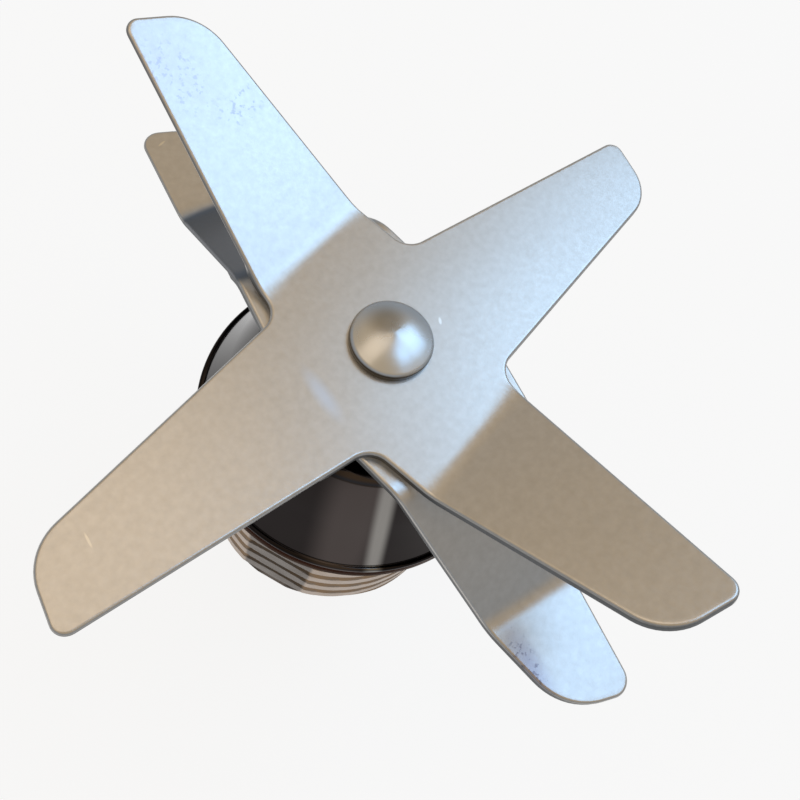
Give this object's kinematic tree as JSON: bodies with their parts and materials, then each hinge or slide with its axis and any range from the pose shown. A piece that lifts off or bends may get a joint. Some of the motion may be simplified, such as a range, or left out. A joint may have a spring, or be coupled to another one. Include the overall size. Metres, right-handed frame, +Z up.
{
  "type": "blender blade assembly",
  "caption": "Jug blender blade unit: cross and drop blades riveted to a shaft that spins on ball bearings in a conical flanged housing with a threaded shank.",
  "frame": {"origin": "on the shaft's axis, in the plane where the flange gasket meets the jug's floor", "axes": "+Z up along the shaft towards the blades, +X along a flat arm of the upper blade, +Y along a raised arm"},
  "size_m": [0.0802, 0.0836, 0.0714],
  "materials": {
    "blade_steel": "tumbled satin stainless sheet",
    "shaft_steel": "turned stainless, riveted head",
    "washer_steel": "stamped stainless",
    "housing_steel": "turned and mirror polished stainless",
    "gasket_rubber": "moulded grey silicone rubber",
    "seal_case_steel": "pressed steel",
    "seal_rubber": "black nitrile rubber",
    "spring_steel": "phosphated spring steel",
    "sleeve_steel": "turned steel",
    "bearing_steel": "ground bearing steel",
    "ball_steel": "lapped bearing steel",
    "cage_nylon": "moulded nylon",
    "shield_steel": "pressed bright steel"
  },
  "bodies": {
    "housing": {"housing": "housing_steel", "flange_gasket": "gasket_rubber", "seal_case": "seal_case_steel", "seal_lip": "seal_rubber", "seal_spring": "spring_steel", "outer_spacer": "sleeve_steel", "housing_circlip": "spring_steel", "upper_outer_ring": "bearing_steel", "upper_bearing_top_shield": "shield_steel", "upper_bearing_bottom_shield": "shield_steel", "lower_outer_ring": "bearing_steel", "lower_bearing_top_shield": "shield_steel", "lower_bearing_bottom_shield": "shield_steel"},
    "rotor": {"shaft": "shaft_steel", "upper_blade": "blade_steel", "lower_blade": "blade_steel", "blade_washer": "washer_steel", "upper_inner_ring": "bearing_steel", "lower_inner_ring": "bearing_steel", "inner_spacer": "sleeve_steel", "shaft_circlip": "spring_steel"},
    "upper_ball_set": {"upper_bearing_balls": "ball_steel", "upper_bearing_cage": "cage_nylon"},
    "lower_ball_set": {"lower_bearing_balls": "ball_steel", "lower_bearing_cage": "cage_nylon"}
  },
  "joints": [
    {"name": "blade_spin", "type": "hinge", "parent": "housing", "child": "rotor", "pos_m": [0, 0, 0], "axis": [0, 0, 1], "continuous": true},
    {"name": "upper_ball_roll", "type": "hinge", "parent": "housing", "child": "upper_ball_set", "pos_m": [0, 0, 0], "axis": [0, 0, 1], "continuous": true},
    {"name": "lower_ball_roll", "type": "hinge", "parent": "housing", "child": "lower_ball_set", "pos_m": [0, 0, 0], "axis": [0, 0, 1], "continuous": true}
  ],
  "couplings": [
    {"joint": "upper_ball_roll", "follows": "blade_spin", "ratio": 0.36767},
    {"joint": "lower_ball_roll", "follows": "blade_spin", "ratio": 0.36767}
  ]
}
